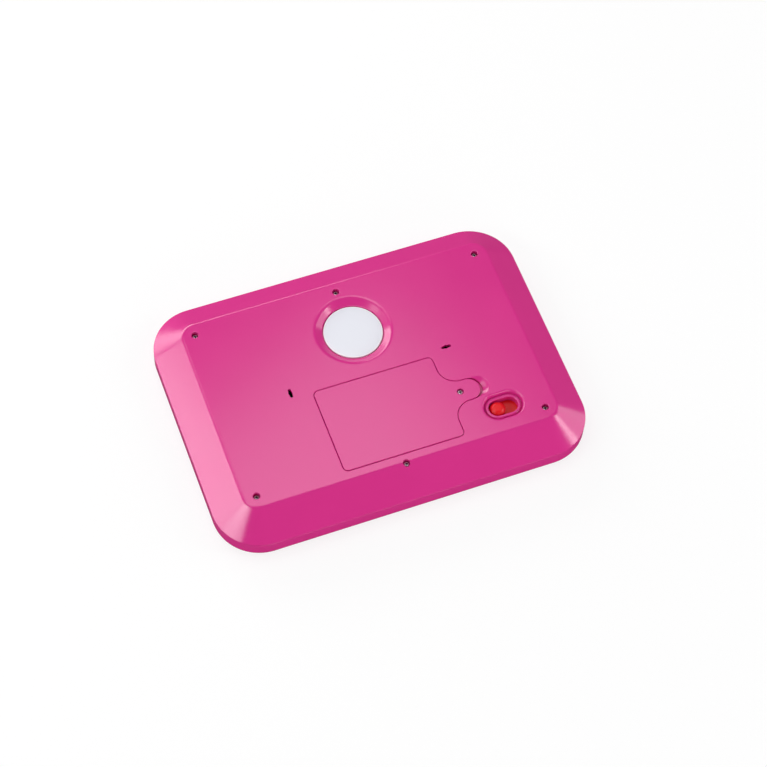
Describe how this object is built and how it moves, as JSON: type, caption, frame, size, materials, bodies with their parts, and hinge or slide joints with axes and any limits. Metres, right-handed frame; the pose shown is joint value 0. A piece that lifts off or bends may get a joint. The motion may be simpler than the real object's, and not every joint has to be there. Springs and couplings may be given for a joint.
{
  "type": "toy tablet",
  "caption": "Flat toy tablet with a bevelled moulded back, screwed battery door, slide power switch, round badge recess and a front grid of sprung light-up tiles",
  "frame": {"origin": "middle of the footprint, on the face the tablet lies on (its front bezel)", "axes": "+X along the long side towards the power switch, +Y along the short side towards the badge, +Z out of the back"},
  "size_m": [0.265, 0.19, 0.029],
  "materials": {
    "pink_abs": "satin moulded ABS",
    "white_disc": "plain white coated disc",
    "red_abs": "glossy moulded ABS",
    "zinc_steel": "zinc plated",
    "black_nylon": "matt",
    "switch_can": "tinned sheet",
    "circuit_board": "solder resist",
    "white_abs": "satin moulded ABS",
    "silicone": "matt translucent",
    "yellow_abs": "satin moulded ABS",
    "clear_tile": "milky light-through plastic",
    "cell_jacket": "printed jacket, plain",
    "contact_metal": "nickel plated spring steel",
    "black_steel": "black coated",
    "paper_cone": "pressed paper",
    "ferrite": "sintered ferrite"
  },
  "bodies": {
    "case": {"rear_shell": "pink_abs", "front_shell": "pink_abs", "rear_badge": "white_disc", "case_screws": "zinc_steel", "switch_body": "switch_can", "switch_board": "circuit_board", "switch_screws": "zinc_steel", "key_grid": "white_abs", "key_mat": "silicone", "main_board": "circuit_board", "board_screws": "zinc_steel", "sound_chip": "black_nylon", "home_board": "circuit_board", "home_screws": "zinc_steel", "home_switch": "black_nylon", "battery_cell_1": "cell_jacket", "battery_cell_2": "cell_jacket", "battery_cell_3": "cell_jacket", "spring_contacts": "contact_metal", "plate_contacts": "contact_metal", "speaker_frame": "black_steel", "speaker_cone": "paper_cone", "speaker_magnet": "ferrite", "speaker_screws": "zinc_steel"},
    "battery_door": {"battery_door": "pink_abs"},
    "door_screw": {"door_screw": "zinc_steel"},
    "power_switch": {"switch_slider": "red_abs", "switch_lever": "black_nylon"},
    "home_button": {"home_button": "yellow_abs"},
    "tile_r1_c1": {"tile_r1_c1": "clear_tile"},
    "tile_r2_c1": {"tile_r2_c1": "clear_tile"},
    "tile_r3_c1": {"tile_r3_c1": "clear_tile"},
    "tile_r4_c1": {"tile_r4_c1": "clear_tile"},
    "tile_r1_c2": {"tile_r1_c2": "clear_tile"},
    "tile_r2_c2": {"tile_r2_c2": "clear_tile"},
    "tile_r3_c2": {"tile_r3_c2": "clear_tile"},
    "tile_r4_c2": {"tile_r4_c2": "clear_tile"},
    "tile_r1_c3": {"tile_r1_c3": "clear_tile"},
    "tile_r2_c3": {"tile_r2_c3": "clear_tile"},
    "tile_r3_c3": {"tile_r3_c3": "clear_tile"},
    "tile_r4_c3": {"tile_r4_c3": "clear_tile"},
    "tile_r1_c4": {"tile_r1_c4": "clear_tile"},
    "tile_r2_c4": {"tile_r2_c4": "clear_tile"},
    "tile_r3_c4": {"tile_r3_c4": "clear_tile"},
    "tile_r4_c4": {"tile_r4_c4": "clear_tile"},
    "tile_r1_c5": {"tile_r1_c5": "clear_tile"},
    "tile_r2_c5": {"tile_r2_c5": "clear_tile"},
    "tile_r3_c5": {"tile_r3_c5": "clear_tile"},
    "tile_r4_c5": {"tile_r4_c5": "clear_tile"},
    "tile_r1_c6": {"tile_r1_c6": "clear_tile"},
    "tile_r2_c6": {"tile_r2_c6": "clear_tile"},
    "tile_r3_c6": {"tile_r3_c6": "clear_tile"},
    "tile_r4_c6": {"tile_r4_c6": "clear_tile"},
    "tile_r1_c7": {"tile_r1_c7": "clear_tile"},
    "tile_r2_c7": {"tile_r2_c7": "clear_tile"},
    "tile_r3_c7": {"tile_r3_c7": "clear_tile"},
    "tile_r4_c7": {"tile_r4_c7": "clear_tile"}
  },
  "joints": [
    {"name": "battery_door_tilt", "type": "hinge", "parent": "case", "child": "battery_door", "pos_m": [-0.04215, -0.0355, 0.029], "axis": [0, -1, 0], "range_deg": [0, 40]},
    {"name": "door_screw_turn", "type": "hinge", "parent": "battery_door", "child": "door_screw", "pos_m": [0.0527, -0.0355, 0.028], "axis": [0, 0, 1], "continuous": true},
    {"name": "power_switch_slide", "type": "slide", "parent": "case", "child": "power_switch", "axis": [1, 0, 0], "range_m": [0, 0.0074]},
    {"name": "home_button_press", "type": "slide", "parent": "case", "child": "home_button", "axis": [0, 0, 1], "range_m": [0, 0.0012], "stiffness_N_per_m": 700, "springref_m": -0.0003},
    {"name": "tile_r1_c1_press", "type": "slide", "parent": "case", "child": "tile_r1_c1", "axis": [0, 0, 1], "range_m": [0, 0.0012], "stiffness_N_per_m": 700, "springref_m": -0.0003},
    {"name": "tile_r2_c1_press", "type": "slide", "parent": "case", "child": "tile_r2_c1", "axis": [0, 0, 1], "range_m": [0, 0.0012], "stiffness_N_per_m": 700, "springref_m": -0.0003},
    {"name": "tile_r3_c1_press", "type": "slide", "parent": "case", "child": "tile_r3_c1", "axis": [0, 0, 1], "range_m": [0, 0.0012], "stiffness_N_per_m": 700, "springref_m": -0.0003},
    {"name": "tile_r4_c1_press", "type": "slide", "parent": "case", "child": "tile_r4_c1", "axis": [0, 0, 1], "range_m": [0, 0.0012], "stiffness_N_per_m": 700, "springref_m": -0.0003},
    {"name": "tile_r1_c2_press", "type": "slide", "parent": "case", "child": "tile_r1_c2", "axis": [0, 0, 1], "range_m": [0, 0.0012], "stiffness_N_per_m": 700, "springref_m": -0.0003},
    {"name": "tile_r2_c2_press", "type": "slide", "parent": "case", "child": "tile_r2_c2", "axis": [0, 0, 1], "range_m": [0, 0.0012], "stiffness_N_per_m": 700, "springref_m": -0.0003},
    {"name": "tile_r3_c2_press", "type": "slide", "parent": "case", "child": "tile_r3_c2", "axis": [0, 0, 1], "range_m": [0, 0.0012], "stiffness_N_per_m": 700, "springref_m": -0.0003},
    {"name": "tile_r4_c2_press", "type": "slide", "parent": "case", "child": "tile_r4_c2", "axis": [0, 0, 1], "range_m": [0, 0.0012], "stiffness_N_per_m": 700, "springref_m": -0.0003},
    {"name": "tile_r1_c3_press", "type": "slide", "parent": "case", "child": "tile_r1_c3", "axis": [0, 0, 1], "range_m": [0, 0.0012], "stiffness_N_per_m": 700, "springref_m": -0.0003},
    {"name": "tile_r2_c3_press", "type": "slide", "parent": "case", "child": "tile_r2_c3", "axis": [0, 0, 1], "range_m": [0, 0.0012], "stiffness_N_per_m": 700, "springref_m": -0.0003},
    {"name": "tile_r3_c3_press", "type": "slide", "parent": "case", "child": "tile_r3_c3", "axis": [0, 0, 1], "range_m": [0, 0.0012], "stiffness_N_per_m": 700, "springref_m": -0.0003},
    {"name": "tile_r4_c3_press", "type": "slide", "parent": "case", "child": "tile_r4_c3", "axis": [0, 0, 1], "range_m": [0, 0.0012], "stiffness_N_per_m": 700, "springref_m": -0.0003},
    {"name": "tile_r1_c4_press", "type": "slide", "parent": "case", "child": "tile_r1_c4", "axis": [0, 0, 1], "range_m": [0, 0.0012], "stiffness_N_per_m": 700, "springref_m": -0.0003},
    {"name": "tile_r2_c4_press", "type": "slide", "parent": "case", "child": "tile_r2_c4", "axis": [0, 0, 1], "range_m": [0, 0.0012], "stiffness_N_per_m": 700, "springref_m": -0.0003},
    {"name": "tile_r3_c4_press", "type": "slide", "parent": "case", "child": "tile_r3_c4", "axis": [0, 0, 1], "range_m": [0, 0.0012], "stiffness_N_per_m": 700, "springref_m": -0.0003},
    {"name": "tile_r4_c4_press", "type": "slide", "parent": "case", "child": "tile_r4_c4", "axis": [0, 0, 1], "range_m": [0, 0.0012], "stiffness_N_per_m": 700, "springref_m": -0.0003},
    {"name": "tile_r1_c5_press", "type": "slide", "parent": "case", "child": "tile_r1_c5", "axis": [0, 0, 1], "range_m": [0, 0.0012], "stiffness_N_per_m": 700, "springref_m": -0.0003},
    {"name": "tile_r2_c5_press", "type": "slide", "parent": "case", "child": "tile_r2_c5", "axis": [0, 0, 1], "range_m": [0, 0.0012], "stiffness_N_per_m": 700, "springref_m": -0.0003},
    {"name": "tile_r3_c5_press", "type": "slide", "parent": "case", "child": "tile_r3_c5", "axis": [0, 0, 1], "range_m": [0, 0.0012], "stiffness_N_per_m": 700, "springref_m": -0.0003},
    {"name": "tile_r4_c5_press", "type": "slide", "parent": "case", "child": "tile_r4_c5", "axis": [0, 0, 1], "range_m": [0, 0.0012], "stiffness_N_per_m": 700, "springref_m": -0.0003},
    {"name": "tile_r1_c6_press", "type": "slide", "parent": "case", "child": "tile_r1_c6", "axis": [0, 0, 1], "range_m": [0, 0.0012], "stiffness_N_per_m": 700, "springref_m": -0.0003},
    {"name": "tile_r2_c6_press", "type": "slide", "parent": "case", "child": "tile_r2_c6", "axis": [0, 0, 1], "range_m": [0, 0.0012], "stiffness_N_per_m": 700, "springref_m": -0.0003},
    {"name": "tile_r3_c6_press", "type": "slide", "parent": "case", "child": "tile_r3_c6", "axis": [0, 0, 1], "range_m": [0, 0.0012], "stiffness_N_per_m": 700, "springref_m": -0.0003},
    {"name": "tile_r4_c6_press", "type": "slide", "parent": "case", "child": "tile_r4_c6", "axis": [0, 0, 1], "range_m": [0, 0.0012], "stiffness_N_per_m": 700, "springref_m": -0.0003},
    {"name": "tile_r1_c7_press", "type": "slide", "parent": "case", "child": "tile_r1_c7", "axis": [0, 0, 1], "range_m": [0, 0.0012], "stiffness_N_per_m": 700, "springref_m": -0.0003},
    {"name": "tile_r2_c7_press", "type": "slide", "parent": "case", "child": "tile_r2_c7", "axis": [0, 0, 1], "range_m": [0, 0.0012], "stiffness_N_per_m": 700, "springref_m": -0.0003},
    {"name": "tile_r3_c7_press", "type": "slide", "parent": "case", "child": "tile_r3_c7", "axis": [0, 0, 1], "range_m": [0, 0.0012], "stiffness_N_per_m": 700, "springref_m": -0.0003},
    {"name": "tile_r4_c7_press", "type": "slide", "parent": "case", "child": "tile_r4_c7", "axis": [0, 0, 1], "range_m": [0, 0.0012], "stiffness_N_per_m": 700, "springref_m": -0.0003}
  ]
}
